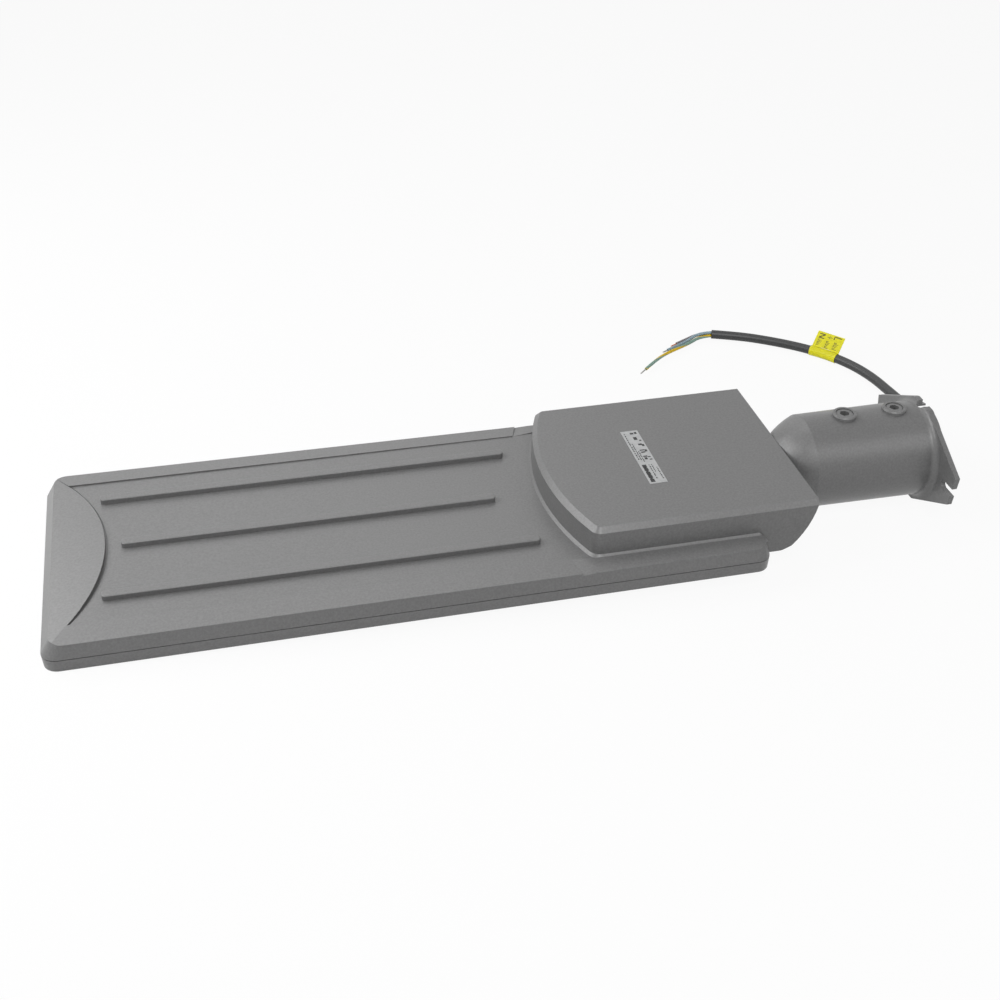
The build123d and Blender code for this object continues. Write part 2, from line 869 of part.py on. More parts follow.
# Lower frame: outer wall, floor, window, posts and crossbar
frame_floor_z = base_z + frame_plate
glass_x = (window_x[0] - glass_lap, window_x[1] + glass_lap)
glass_half = window_half + glass_lap
glass_z = frame_floor_z + glass_gasket_thick
glass_top_z = glass_z + glass_thick
head_seat_z = base_z + frame_head_sink + frame_head_h


def offset_outline(inset):
    """Body outline at the joint, drawn in by an inset all round."""
    half = body_half - inset
    return plan_outline(body_tip_x + inset, body_tail_x - inset, half, half, body_corner - inset)


with BuildPart() as lower_frame:
    with BuildSketch(Plane.XY.offset(base_z)):
        add(offset_outline(frame_base_inset))
    with BuildSketch(Plane.XY.offset(parting_z - groove_height)):
        add(offset_outline(0))
    loft(ruled=True)
    with BuildSketch(Plane.XY.offset(parting_z - groove_height)):
        add(offset_outline(groove_depth))
    extrude(amount=groove_height)
    with BuildSketch(Plane.XY.offset(frame_floor_z)):
        add(
            plan_outline(
                chamber_tip_x, partition_x - crossbar / 2, chamber_half, chamber_half, body_corner / 2
            )
        )
        add(
            plan_outline(
                partition_x + crossbar / 2, lower_space_tail_x, chamber_half, chamber_half, body_corner / 2
            )
        )
    extrude(amount=parting_z - frame_floor_z, mode=Mode.SUBTRACT)
    with BuildSketch(Plane.XY.offset(base_z)):
        add(plan_outline(window_x[0], window_x[1], window_half, window_half, window_corner))
    extrude(amount=frame_plate, mode=Mode.SUBTRACT)
    with BuildSketch(Plane.XY.offset(frame_floor_z)):
        with Locations(pillar_points):
            Circle(frame_post_r)
    extrude(amount=parting_z - frame_floor_z)
    with BuildSketch(Plane.XY.offset(frame_floor_z)):
        with Locations([(x, side * clip_y) for x, side in clip_points]):
            Circle(clip_boss_r)
    extrude(amount=glass_top_z - frame_floor_z)
    # gasket groove
    with BuildSketch(Plane.XY.offset(parting_z)):
        add(offset_outline(gasket_inset))
        add(offset_outline(gasket_inset + gasket_width), mode=Mode.SUBTRACT)
    extrude(amount=-gasket_height, mode=Mode.SUBTRACT)
    # screw holes, sunk for the heads
    with BuildSketch(Plane.XY.offset(base_z)):
        with Locations(pillar_points):
            Circle(frame_screw_r + screw_gap)
    extrude(amount=parting_z - base_z, mode=Mode.SUBTRACT)
    with BuildSketch(Plane.XY.offset(base_z)):
        with Locations(pillar_points):
            Circle(frame_head_r + screw_gap)
    extrude(amount=head_seat_z - base_z, mode=Mode.SUBTRACT)
    with BuildSketch(Plane.XY.offset(glass_top_z)):
        with Locations([(x, side * clip_y) for x, side in clip_points]):
            Circle(clip_screw_r)
    extrude(amount=-clip_screw_bite, mode=Mode.SUBTRACT)
    with BuildSketch(Plane.XY.offset(base_z)):
        with Locations(vent_point):
            Circle(vent_r)
    extrude(amount=frame_plate, mode=Mode.SUBTRACT)
lower_frame.part.label = "lower_frame"
export_step(lower_frame.part, "parts/lower_frame.step")

with BuildPart() as frame_gasket:
    with BuildSketch(Plane.XY.offset(parting_z - gasket_height)):
        add(offset_outline(gasket_inset))
        add(offset_outline(gasket_inset + gasket_width), mode=Mode.SUBTRACT)
    extrude(amount=gasket_height)
frame_gasket.part.label = "frame_gasket"
export_step(frame_gasket.part, "parts/frame_gasket.step")


def headed_screw(points, seat_z, shaft_r, tip_z, head_r, head_h, socket):
    """Round-headed screws driven up from below: the head hangs under its seat."""
    with BuildPart() as screws:
        with BuildSketch(Plane.XY.offset(seat_z)):
            with Locations(points):
                Circle(shaft_r)
        extrude(amount=tip_z - seat_z)
        with BuildSketch(Plane.XY.offset(seat_z)):
            with Locations(points):
                Circle(head_r)
        extrude(amount=-head_h)
        with BuildSketch(Plane.XY.offset(seat_z - head_h)):
            with Locations(points):
                RegularPolygon(socket / 2, 6, major_radius=False)
        extrude(amount=head_h * head_socket_share, mode=Mode.SUBTRACT)
    return screws.part


frame_screws = headed_screw(
    pillar_points, head_seat_z, frame_screw_r, frame_screw_tip_z, frame_head_r, frame_head_h, frame_hex
)
frame_screws.label = "frame_screws"
export_step(frame_screws, "parts/frame_screws.step")

# Glass, its gasket, clips and clip screws
with BuildPart() as glass_gasket:
    with BuildSketch(Plane.XY.offset(frame_floor_z)):
        add(plan_outline(glass_x[0], glass_x[1], glass_half, glass_half, glass_corner))
        add(plan_outline(window_x[0], window_x[1], window_half, window_half, window_corner), mode=Mode.SUBTRACT)
    extrude(amount=glass_gasket_thick)
glass_gasket.part.label = "glass_gasket"
export_step(glass_gasket.part, "parts/glass_gasket.step")

with BuildPart() as glass_cover:
    with BuildSketch(Plane.XY.offset(glass_z)):
        add(plan_outline(glass_x[0], glass_x[1], glass_half, glass_half, glass_corner))
    extrude(amount=glass_thick)
glass_cover.part.label = "glass_cover"
export_step(glass_cover.part, "parts/glass_cover.step")

clip_inner_y = glass_half - clip_bite
clip_outer_y = clip_y + clip_boss_r
with BuildPart() as glass_clips:
    with BuildSketch(Plane.XY.offset(glass_top_z)):
        with Locations([(x, side * (clip_inner_y + clip_outer_y) / 2) for x, side in clip_points]):
            RectangleRounded(clip_width, clip_outer_y - clip_inner_y, clip_thick)
        with Locations([(x, side * clip_y) for x, side in clip_points]):
            Circle(clip_screw_r + screw_gap / 2, mode=Mode.SUBTRACT)
    extrude(amount=clip_thick)
glass_clips.part.label = "glass_clips"
export_step(glass_clips.part, "parts/glass_clips.step")

clip_seat_z = glass_top_z + clip_thick
with BuildPart() as clip_screws:
    with BuildSketch(Plane.XY.offset(clip_seat_z)):
        with Locations([(x, side * clip_y) for x, side in clip_points]):
            Circle(clip_screw_r)
    extrude(amount=-clip_thick - clip_screw_bite)
    with BuildSketch(Plane.XY.offset(clip_seat_z)):
        with Locations([(x, side * clip_y) for x, side in clip_points]):
            Circle(clip_head_r)
    extrude(amount=clip_head_h)
clip_screws.part.label = "clip_screws"
export_step(clip_screws.part, "parts/clip_screws.step")

# Light board, packages, lens sheet and screws
board_z = roof_z - board_thick
with BuildPart() as led_board:
    with BuildSketch(Plane.XY.offset(board_z)):
        add(plan_outline(board_x[0], board_x[1], board_half, board_half, board_screw_r))
        with Locations(board_points):
            Circle(board_screw_r + screw_gap, mode=Mode.SUBTRACT)
    extrude(amount=board_thick)
led_board.part.label = "led_board"
export_step(led_board.part, "parts/led_board.step")

led_grid = GridLocations(led_pitch_x, led_pitch_y, led_columns, led_rows)
led_middle = Location(((board_x[0] + board_x[1]) / 2, 0, 0))
led_places = [led_middle * place for place in led_grid]
with BuildPart() as leds:
    with BuildSketch(Plane.XY.offset(board_z)):
        with Locations(*led_places):
            Rectangle(led_size, led_size)
    extrude(amount=-led_thick)
leds.part.label = "leds"
export_step(leds.part, "parts/leds.step")

lens_top_z = board_z - led_thick - lens_gap
lens_plate_z = lens_top_z - lens_thick
lens_foot_r = lens_r
lens_tip_r = lens_r - lens_height * tan(radians(lens_draft))
with BuildPart() as lens_sheet:
    with BuildSketch(Plane.XY.offset(lens_plate_z)):
        add(plan_outline(lens_sheet_x[0], lens_sheet_x[1], lens_sheet_half, lens_sheet_half, post_r))
    extrude(amount=lens_thick)
    with Locations(Location((0, 0, lens_plate_z - lens_height / 2))):
        with Locations(*led_places):
            Cone(lens_tip_r, lens_foot_r, lens_height)
    with BuildSketch(Plane.XY.offset(lens_top_z)):
        with Locations(board_points):
            Circle(post_r)
    extrude(amount=board_z - lens_top_z)
    with BuildSketch(Plane.XY.offset(lens_plate_z)):
        with Locations(board_points):
            Circle(board_screw_r + screw_gap)
    extrude(amount=board_z - lens_plate_z, mode=Mode.SUBTRACT)
lens_sheet.part.label = "lens_sheet"
export_step(lens_sheet.part, "parts/lens_sheet.step")

board_screws = headed_screw(
    board_points,
    lens_plate_z,
    board_screw_r,
    roof_z + board_screw_bite,
    board_head_r,
    board_head_h,
    board_screw_r,
)
board_screws.label = "board_screws"
export_step(board_screws, "parts/board_screws.step")


def roof_box(span_x, span_y, height, ear, edge):
    """Box hung under the compartment's roof with a fixing ear at each end."""
    mid_x = (span_x[0] + span_x[1]) / 2
    mid_y = (span_y[0] + span_y[1]) / 2
    with BuildPart() as box:
        with BuildSketch(Plane.XY.offset(hump_roof_z - height)):
            with Locations((mid_x, mid_y)):
                Rectangle(span_x[1] - span_x[0], span_y[1] - span_y[0])
        extrude(amount=height)
        fillet(box.edges().filter_by(Axis.Z), edge)
        with BuildSketch(Plane.XY.offset(hump_roof_z - ear_thick)):
            with Locations((mid_x, mid_y)):
                Rectangle(span_x[1] - span_x[0] + 2 * ear, ear_width)
        extrude(amount=ear_thick)
        with BuildSketch(Plane.XY.offset(hump_roof_z - ear_thick)):
            with Locations((span_x[0] - ear / 2, mid_y), (span_x[1] + ear / 2, mid_y)):
                Circle(roof_screw_r + screw_gap)
        extrude(amount=ear_thick, mode=Mode.SUBTRACT)
    return box.part


driver_case = roof_box(driver_x, driver_y, driver_height, driver_ear, driver_edge)
driver_case.label = "driver_case"
export_step(driver_case, "parts/driver_case.step")
surge_module = roof_box(surge_x, surge_y, surge_height, surge_ear, surge_edge)
surge_module.label = "surge_module"
export_step(surge_module, "parts/surge_module.step")

terminal_base_z = hump_roof_z - terminal_height
clamp_points = [(x, terminal_y[0] + way_depth / 2) for x in way_x]
clamp_points += [(x, terminal_y[1] - way_depth / 2) for x in way_x]
with BuildPart() as terminal_block:
    add(roof_box(terminal_x, terminal_y, terminal_height, terminal_ear, terminal_edge))
    with BuildSketch(Plane.XZ.offset(-terminal_y[0])):
        with Locations([(x, hump_roof_z - way_upper) for x in way_x]):
            Circle(way_r)
        with Locations([(x - way_step, hump_roof_z - way_lower) for x in way_x]):
            Circle(way_r)
    extrude(amount=-way_depth, mode=Mode.SUBTRACT)
    with BuildSketch(Plane.XY.offset(terminal_base_z)):
        with Locations(clamp_points):
            Circle(clamp_screw_r)
    extrude(amount=clamp_screw_sink + clamp_screw_r, mode=Mode.SUBTRACT)
terminal_block.part.label = "terminal_block"
export_step(terminal_block.part, "parts/terminal_block.step")

with BuildPart() as terminal_screws:
    with BuildSketch(Plane.XY.offset(terminal_base_z + clamp_screw_sink)):
        with Locations(clamp_points):
            Circle(clamp_screw_r)
    extrude(amount=clamp_screw_r)
    with BuildSketch(Plane.XY.offset(terminal_base_z + clamp_screw_sink)):
        with Locations(clamp_points):
            Rectangle(2 * clamp_screw_r, clamp_screw_sink)
    extrude(amount=clamp_screw_sink, mode=Mode.SUBTRACT)
terminal_screws.part.label = "terminal_screws"
export_step(terminal_screws.part, "parts/terminal_screws.step")

roof_screws = headed_screw(
    roof_screw_points,
    hump_roof_z - ear_thick,
    roof_screw_r,
    hump_roof_z + roof_screw_bite,
    roof_head_r,
    roof_head_h,
    roof_hex,
)
roof_screws.label = "roof_screws"
export_step(roof_screws, "parts/roof_screws.step")
earth_seat_z = hump_roof_z - earth_boss_h
earth_screw = headed_screw(
    [earth_point],
    earth_seat_z,
    earth_screw_r,
    earth_seat_z + earth_screw_bite,
    earth_head_r,
    earth_head_h,
    earth_hex,
)
earth_screw.label = "earth_screw"
export_step(earth_screw, "parts/earth_screw.step")

with BuildPart() as breather_vent:
    with BuildSketch(Plane.XY.offset(base_z)):
        with Locations(vent_point):
            Circle(vent_r)
    extrude(amount=frame_plate + vent_nut_h)
    with BuildSketch(Plane.XY.offset(base_z)):
        with Locations(vent_point):
            Circle(vent_flange_r)
    extrude(amount=-vent_flange_h)
    with BuildSketch(Plane.XY.offset(frame_floor_z)):
        with Locations(vent_point):
            RegularPolygon(vent_nut_r, 6, major_radius=False)
    extrude(amount=vent_nut_h)
breather_vent.part.label = "breather_vent"
export_step(breather_vent.part, "parts/breather_vent.step")

# Gland in the neck's floor and its lock nut inside
with BuildPart() as cable_gland:
    with BuildSketch(Plane.XZ):
        with BuildLine():
            Polyline(
                (gland_tail_x, cable_r),
                (gland_tail_x, gland_thread_r),
                (neck_floor_x, gland_thread_r),
                (neck_floor_x, gland_collar_r),
                (gland_collar_x, gland_collar_r),
                (gland_collar_x, gland_dome_r),
                ((gland_collar_x + gland_mouth_x) / 2, gland_dome_r),
                (gland_mouth_x, gland_nose_r),
                (gland_mouth_x, cable_r + gland_flare),
                (gland_grip_x, cable_r),
                close=True,
            )
        make_face()
    revolve(axis=Axis.X)
cable_gland.part.label = "cable_gland"
export_step(cable_gland.part, "parts/cable_gland.step")

with BuildPart() as gland_nut:
    with BuildSketch(Plane.YZ.offset(neck_end_x)):
        RegularPolygon(nut_across / 2, 6, major_radius=False)
        Circle(gland_thread_r, mode=Mode.SUBTRACT)
    extrude(amount=-nut_thick)
gland_nut.part.label = "gland_nut"
export_step(gland_nut.part, "parts/gland_nut.step")


def bend_radii(route):
    """Largest arc that each corner's two runs leave room for."""
    radii = []
    for before, here, after in zip(route, route[1:], route[2:]):
        first = Vector(*here) - Vector(*before)
        second = Vector(*after) - Vector(*here)
        shorter = min(first.length, second.length)
        radii.append(bend_share * shorter / tan(radians(first.get_angle(second)) / 2))
    return radii


def tube(route, radii, radius):
    """Round tube along straight runs joined by arcs, with its true length."""
    with BuildPart() as piece:
        with BuildLine() as line:
            FilletPolyline(*route, radius=radii)
        start = Vector(*route[0])
        with BuildSketch(Plane(origin=start, z_dir=Vector(*route[1]) - start)):
            Circle(radius)
        sweep()
    return piece.part, line.wires()[0].length


def cord(route, radius):
    """Free cord: prints its length, volume check and bends, and returns its tube."""
    radii = bend_radii(route)
    piece, length = tube(route, radii, radius)
    expected = pi * radius**2 * length
    print("cord length", round(length, 1), "volume ratio", round(piece.volume / expected, 4))
    print("cord radii", [round(value, 1) for value in radii])
    return piece


def bare_end(route, length):
    """Bare copper beyond a core, in line with its last run."""
    end = Vector(*route[-1])
    direction = end - Vector(*route[-2])
    with BuildPart() as copper:
        with BuildSketch(Plane(origin=end, z_dir=direction)):
            Circle(copper_r)
        extrude(amount=length)
    return copper.part


supply_cable = cord(cable_route, cable_r)
supply_cable.label = "supply_cable"
export_step(supply_cable, "parts/supply_cable.step")
core_brown = cord(brown_route, core_r)
core_brown.label = "core_brown"
export_step(core_brown, "parts/core_brown.step")
core_blue = cord(blue_route, core_r)
core_blue.label = "core_blue"
export_step(core_blue, "parts/core_blue.step")
core_earth = cord(earth_route, core_r)
core_earth.label = "core_earth"
export_step(core_earth, "parts/core_earth.step")
copper_brown = bare_end(brown_route, brown_copper)
copper_brown.label = "copper_brown"
export_step(copper_brown, "parts/copper_brown.step")
copper_blue = bare_end(blue_route, blue_copper)
copper_blue.label = "copper_blue"
export_step(copper_blue, "parts/copper_blue.step")
copper_earth = bare_end(earth_route, earth_copper)
copper_earth.label = "copper_earth"
export_step(copper_earth, "parts/copper_earth.step")

# Flag tag: a sleeve round the cable's bend and a flag that leans up from it
tag_middle = Vector(*cable_route[tag_corner_index])
tag_before = (Vector(*cable_route[tag_corner_index - 1]) - tag_middle).normalized()
tag_after = (Vector(*cable_route[tag_corner_index + 1]) - tag_middle).normalized()
tag_start = tag_middle + tag_before * (tag_length / 2)
tag_end = tag_middle + tag_after * (tag_length / 2)
tag_bend = bend_radii(cable_route)[tag_corner_index - 1]
chord_middle = (tag_start + tag_end) * 0.5
tag_along = (tag_start - tag_end).normalized()
tag_level = tag_along.cross(Vector(0, 0, -1)).normalized()
tag_out = tag_level * cos(radians(tag_lean)) + Vector(0, 0, 1) * sin(radians(tag_lean))
tag_bulge = (tag_middle - chord_middle).length
flag_inner = cable_r + tag_gap + tag_thick / 2
flag_plane = Plane(origin=chord_middle, x_dir=tag_along, z_dir=tag_along.cross(tag_out))
with BuildPart() as cable_tag:
    with BuildLine():
        FilletPolyline(tag_start, tag_middle, tag_end, radius=tag_bend)
    with BuildSketch(Plane(origin=tag_start, z_dir=tag_before * -1)):
        Circle(cable_r + tag_gap + tag_thick)
        Circle(cable_r + tag_gap, mode=Mode.SUBTRACT)
    sweep()
    with BuildSketch(flag_plane) as flag:
        with BuildLine():
            half_tag = (tag_start - tag_end).length / 2
            middle_in = flag_inner + tag_bulge * cos(radians(tag_lean))
            Polyline((-half_tag, flag_inner), (-half_tag, tag_reach), (half_tag, tag_reach), (half_tag, flag_inner))
            ThreePointArc((half_tag, flag_inner), (0, middle_in), (-half_tag, flag_inner))
        make_face()
    extrude(amount=tag_thick / 2, both=True)
cable_tag.part.label = "cable_tag"
export_step(cable_tag.part, "parts/cable_tag.step")

# Leads: gland to terminals, terminals to driver, driver to light board
upper_way_z = hump_roof_z - way_upper
lower_way_z = hump_roof_z - way_lower
way_mouth_y = terminal_y[0] - lead_straight
way_end_y = terminal_y[0] + way_depth / 2
spread_low = -inner_core_spread / 2
supply_routes = [
    [
        (inner_core_start_x, -inner_core_spread, spread_low),
        (gland_tail_x - lead_straight, -inner_core_spread, spread_low),
        (way_x[0] + terminal_pitch, 0.0, upper_way_z / 2),
        (way_x[0], way_mouth_y, upper_way_z),
        (way_x[0], way_end_y, upper_way_z),
    ],
    [
        (inner_core_start_x, 0.0, inner_core_spread),
        (gland_tail_x - lead_straight, 0.0, inner_core_spread),
        (way_x[1] + terminal_pitch / 2, lead_straight, upper_way_z / 2),
        (way_x[1], way_mouth_y, upper_way_z),
        (way_x[1], way_end_y, upper_way_z),
    ],
    [
        (inner_core_start_x, inner_core_spread, spread_low),
        (gland_tail_x - lead_straight, inner_core_spread, spread_low),
        (way_x[2] + core_r * 2, terminal_y[0] / 3, upper_way_z / 2),
        (way_x[2], way_mouth_y, upper_way_z),
        (way_x[2], way_end_y, upper_way_z),
    ],
]
driver_lead_routes = []
for way in way_x[:2]:
    entry_x = way - way_step
    exit_x = entry_x - terminal_pitch
    driver_lead_routes.append(
        [
            (exit_x, driver_y[1], driver_lead_z),
            (exit_x, driver_y[1] + lead_straight, driver_lead_z),
            (entry_x, way_mouth_y, lower_way_z),
            (entry_x, way_end_y, lower_way_z),
        ]
    )
led_lead_routes = []
board_touch_z = board_z - lead_r
notch_pass_z = board_touch_z - lead_r
for y in led_lead_y:
    exit_z = hump_roof_z - driver_height + 2 * lead_r
    led_lead_routes.append(
        [
            (driver_x[0], y, exit_z),
            (driver_x[0] - lead_straight, y, exit_z),
            (driver_x[0] - led_lead_drop, y, notch_pass_z),
            (partition_x, y, notch_pass_z),
            (board_x[1] - lead_straight, y, board_touch_z),
        ]
    )


def lead_set(routes, radius):
    """Several leads as one piece."""
    with BuildPart() as leads:
        for route in routes:
            add(tube(route, [lead_bend] * (len(route) - 2), radius)[0])
    return leads.part


supply_leads = lead_set(supply_routes, core_r)
supply_leads.label = "supply_leads"
export_step(supply_leads, "parts/supply_leads.step")
driver_leads = lead_set(driver_lead_routes, lead_r)
driver_leads.label = "driver_leads"
export_step(driver_leads, "parts/driver_leads.step")
led_leads = lead_set(led_lead_routes, lead_r)
led_leads.label = "led_leads"
export_step(led_leads, "parts/led_leads.step")
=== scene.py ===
from math import cos, pi, radians, sin

import bmesh
import bpy
import numpy as np
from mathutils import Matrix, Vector


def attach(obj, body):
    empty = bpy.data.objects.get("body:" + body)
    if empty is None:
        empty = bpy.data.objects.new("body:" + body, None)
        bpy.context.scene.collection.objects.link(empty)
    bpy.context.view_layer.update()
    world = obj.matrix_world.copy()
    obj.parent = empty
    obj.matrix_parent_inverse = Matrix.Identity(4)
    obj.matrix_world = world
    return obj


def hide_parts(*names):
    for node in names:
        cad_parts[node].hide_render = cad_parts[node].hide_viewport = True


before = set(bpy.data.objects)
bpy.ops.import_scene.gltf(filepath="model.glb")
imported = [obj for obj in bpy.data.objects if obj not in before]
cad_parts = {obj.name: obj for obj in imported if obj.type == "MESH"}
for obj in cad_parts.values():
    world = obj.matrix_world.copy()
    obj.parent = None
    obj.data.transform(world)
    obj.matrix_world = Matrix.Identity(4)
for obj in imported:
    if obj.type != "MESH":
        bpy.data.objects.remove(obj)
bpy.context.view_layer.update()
bpy.context.scene.view_settings.view_transform = "Standard"
print("stage: frame loaded")

mm = 0.001  # every length below is in millimetres until it is handed to Blender


# sRGB hex to linear: c / 12.92 below 0.04045, else ((c + 0.055) / 1.055) ** 2.4
def linearColour(hexCode):
    parts = [int(hexCode[k : k + 2], 16) / 255 for k in (0, 2, 4)]
    return [c / 12.92 if c <= 0.04045 else ((c + 0.055) / 1.055) ** 2.4 for c in parts] + [1.0]


# Adds a node, sets its inputs and links the outputs given to it: settings are plain attributes, and
# ends are the places and colours of a colour ramp's two ends
def addNode(tree, kind, inputs=None, links=None, ends=(), **settings):
    node = tree.nodes.new(kind)
    for key, value in settings.items():
        setattr(node, key, value)
    for key, value in (inputs or {}).items():
        node.inputs[key].default_value = value
    for key, output in (links or {}).items():
        tree.links.new(output, node.inputs[key])
    for k, (place, colour) in enumerate(ends):
        node.color_ramp.elements[k].position = place
        node.color_ramp.elements[k].color = linearColour(colour)
    return node


mottleEnds = (0.3, 0.7)  # the noise runs from the darker to the lighter colour between these


# A finish: mottled colour, roughness, metallic, and a bump of a depth in mm. cell and grain are
# the sizes of the mottle and the bump in mm: noise cells per metre = 1 / (size in mm * 0.001).
def finish(name, look):
    material = bpy.data.materials.new(name)
    material.use_nodes = True
    tree = material.node_tree
    shader = tree.nodes["Principled BSDF"]
    place = {"Vector": addNode(tree, "ShaderNodeTexCoord").outputs["Object"]}
    cells = {"Scale": 1.0 / (look["cell"] * mm), "Detail": look.get("detail", 2.0)}
    mottle = addNode(tree, "ShaderNodeTexNoise", cells, place)
    colours = tuple(zip(mottleEnds, (look["darker"], look["lighter"])))
    shade = addNode(tree, "ShaderNodeValToRGB", links={"Fac": mottle.outputs["Fac"]}, ends=colours)
    tree.links.new(shade.outputs["Color"], shader.inputs["Base Color"])
    shader.inputs["Roughness"].default_value = look["roughness"]
    shader.inputs["Metallic"].default_value = look.get("metallic", 0.0)
    shader.inputs["Specular IOR Level"].default_value = look.get("specular", 0.5)
    shader.inputs["Transmission Weight"].default_value = look.get("clear", 0.0)
    shader.inputs["IOR"].default_value = look.get("ior", 1.5)
    cells = {"Scale": 1.0 / (look.get("grain", look["cell"]) * mm)}
    grain = addNode(tree, "ShaderNodeTexNoise", cells, place)
    depth = {"Distance": look["depth"] * mm}
    bump = addNode(tree, "ShaderNodeBump", depth, {"Height": grain.outputs["Fac"]})
    tree.links.new(bump.outputs["Normal"], shader.inputs["Normal"])
    return material


# Each finish is named for its real material, and the note above it says what that gives the eye
looks = {
    # powder coat on die-cast aluminium: matt grey, with a pebbled skin about 0.7 mm across
    "powder coated die-cast aluminium": {"darker": "646464", "lighter": "707070", "cell": 1.4,
        "detail": 3.0, "roughness": 0.36, "specular": 0.6, "grain": 0.7, "depth": 0.03},
    # zinc plate: dull pale grey metal
    "zinc plated steel": {"darker": "8C8C8D", "lighter": "9C9C9D", "cell": 1.5, "roughness": 0.42,
        "metallic": 1.0, "depth": 0.02},
    # turned brass: warm yellow metal with a clear shine
    "turned brass": {"darker": "B99A4C", "lighter": "CBAF63", "cell": 1.5, "roughness": 0.3,
        "metallic": 1.0, "depth": 0.01},
    # rolled spring steel: smooth mid grey metal
    "spring steel": {"darker": "8C8C8E", "lighter": "A0A0A2", "cell": 2.0, "roughness": 0.3,
        "metallic": 1.0, "depth": 0.01},
    # rubber: near black with a soft sheen and faint drag marks
    "black rubber sheath": {"darker": "2A2B2C", "lighter": "383939", "cell": 1.1, "roughness": 0.42,
        "depth": 0.05},
    # moulded polyamide: deep black with a dull, slightly uneven skin
    "black polyamide": {"darker": "17171A", "lighter": "232326", "cell": 1.4, "roughness": 0.5,
        "depth": 0.03},
    # silvered film seen from the side of the light: mid grey
    "silver grey printed film": {"darker": "A9AAAB", "lighter": "B7B8B8", "cell": 3.0, "roughness": 0.42,
        "depth": 0.01},
    # printed ink: flat near black with no relief to speak of
    "black ink": {"darker": "161617", "lighter": "242425", "cell": 0.8, "roughness": 0.5, "depth": 0.005},
    # printed film: strong lemon yellow with a soft sheen
    "yellow film": {"darker": "D6D000", "lighter": "E4DE06", "cell": 3.0, "roughness": 0.45,
        "depth": 0.005},
    # worn ink on the yellow film: brown olive, the film shows through
    "faded black ink": {"darker": "4F4B10", "lighter": "6B6518", "cell": 0.6, "roughness": 0.5,
        "depth": 0.005},
    # extruded PVC: greyish brown, a soft highlight along the core
    "grey brown core insulation": {"darker": "6A6366", "lighter": "857F81", "cell": 1.0,
        "roughness": 0.4, "depth": 0.02},
    # extruded PVC: dusty pale blue, a soft highlight along the core
    "pale blue core insulation": {"darker": "7D939F", "lighter": "9BB0BA", "cell": 1.0,
        "roughness": 0.4, "depth": 0.02},
    # drawn copper: pinkish metal, bright on each strand
    "bare copper": {"darker": "C58468", "lighter": "DBA084", "cell": 0.7, "roughness": 0.35,
        "metallic": 1.0, "depth": 0.01},
    # tinned strands: pale grey metal, bright on each strand
    "tinned copper": {"darker": "9A9A98", "lighter": "B4B4B2", "cell": 0.7, "roughness": 0.35,
        "metallic": 1.0, "depth": 0.01},
    # moulded silicone: milky grey white, without gloss
    "translucent silicone": {"darker": "C9C9C4", "lighter": "D8D8D3", "cell": 3.0, "roughness": 0.5,
        "depth": 0.02},
    # float glass: clear, with a sharp reflection and a trace of green
    "toughened glass": {"darker": "EDF6F3", "lighter": "F6FAF8", "cell": 18.0, "roughness": 0.02,
        "clear": 1.0, "depth": 0.002},
    # moulded acrylic: clear, a little softer in its reflection than glass
    "clear lens moulding": {"darker": "F0F5F7", "lighter": "FAFCFD", "cell": 18.0, "roughness": 0.06,
        "clear": 1.0, "ior": 1.49, "depth": 0.002},
    # solder mask on aluminium: smooth near white
    "white solder mask": {"darker": "E3E3DF", "lighter": "EEEEEA", "cell": 6.0, "roughness": 0.35,
        "depth": 0.01},
    # phosphor silicone: warm yellow with a fine grain
    "yellow phosphor": {"darker": "D8B33A", "lighter": "E8C754", "cell": 0.6, "roughness": 0.3,
        "depth": 0.02},
    # moulded plastic: warm white, half matt
    "white moulded plastic": {"darker": "D9D9D5", "lighter": "E4E4E0", "cell": 2.5, "roughness": 0.45,
        "depth": 0.02},
    # moulded plastic: soft black, half matt
    "black moulded plastic": {"darker": "1C1C1E", "lighter": "28282A", "cell": 2.0, "roughness": 0.45,
        "depth": 0.02},
    # extruded PVC: brick red, a soft highlight along the lead
    "red lead insulation": {"darker": "9E2A22", "lighter": "B23A30", "cell": 1.5, "roughness": 0.4,
        "depth": 0.02},
}
materials = {name: finish(name, look) for name, look in looks.items()}

# Green and yellow core: PVC in two colours. The yellow band follows the tube's own UV map, where
# sin(2 pi * x) is over the split.
stripe = {"green": "7F9F92", "yellow": "DDB90C", "low": -0.08, "high": 0.08}
striped = finish("green and yellow core insulation", looks["pale blue core insulation"])
tree = striped.node_tree
place = addNode(tree, "ShaderNodeUVMap", uv_map="tube")
split = addNode(tree, "ShaderNodeSeparateXYZ", links={"Vector": place.outputs["UV"]})
turn = addNode(tree, "ShaderNodeMath", {1: 2 * pi}, {0: split.outputs["X"]}, operation="MULTIPLY")
wave = addNode(tree, "ShaderNodeMath", links={0: turn.outputs["Value"]}, operation="SINE")
share = addNode(
    tree, "ShaderNodeMapRange", {"From Min": stripe["low"], "From Max": stripe["high"]},
    {"Value": wave.outputs["Value"]},
)
colours = ((0.0, stripe["green"]), (1.0, stripe["yellow"]))
bands = addNode(tree, "ShaderNodeValToRGB", links={"Fac": share.outputs["Result"]}, ends=colours)
tree.links.new(bands.outputs["Color"], tree.nodes["Principled BSDF"].inputs["Base Color"])
materials[striped.name] = striped
print("stage: materials made")


# A mesh object from an array of points in mm and its faces, riding on the lamp
def newPiece(name, points, faces, material):
    mesh = bpy.data.meshes.new(name)
    mesh.from_pydata((np.asarray(points, float).reshape(-1, 3) * mm).tolist(), [], faces)
    mesh.update()
    mesh.materials.append(materials[material])
    piece = bpy.data.objects.new(name, mesh)
    bpy.context.scene.collection.objects.link(piece)
    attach(piece, "root")
    return piece


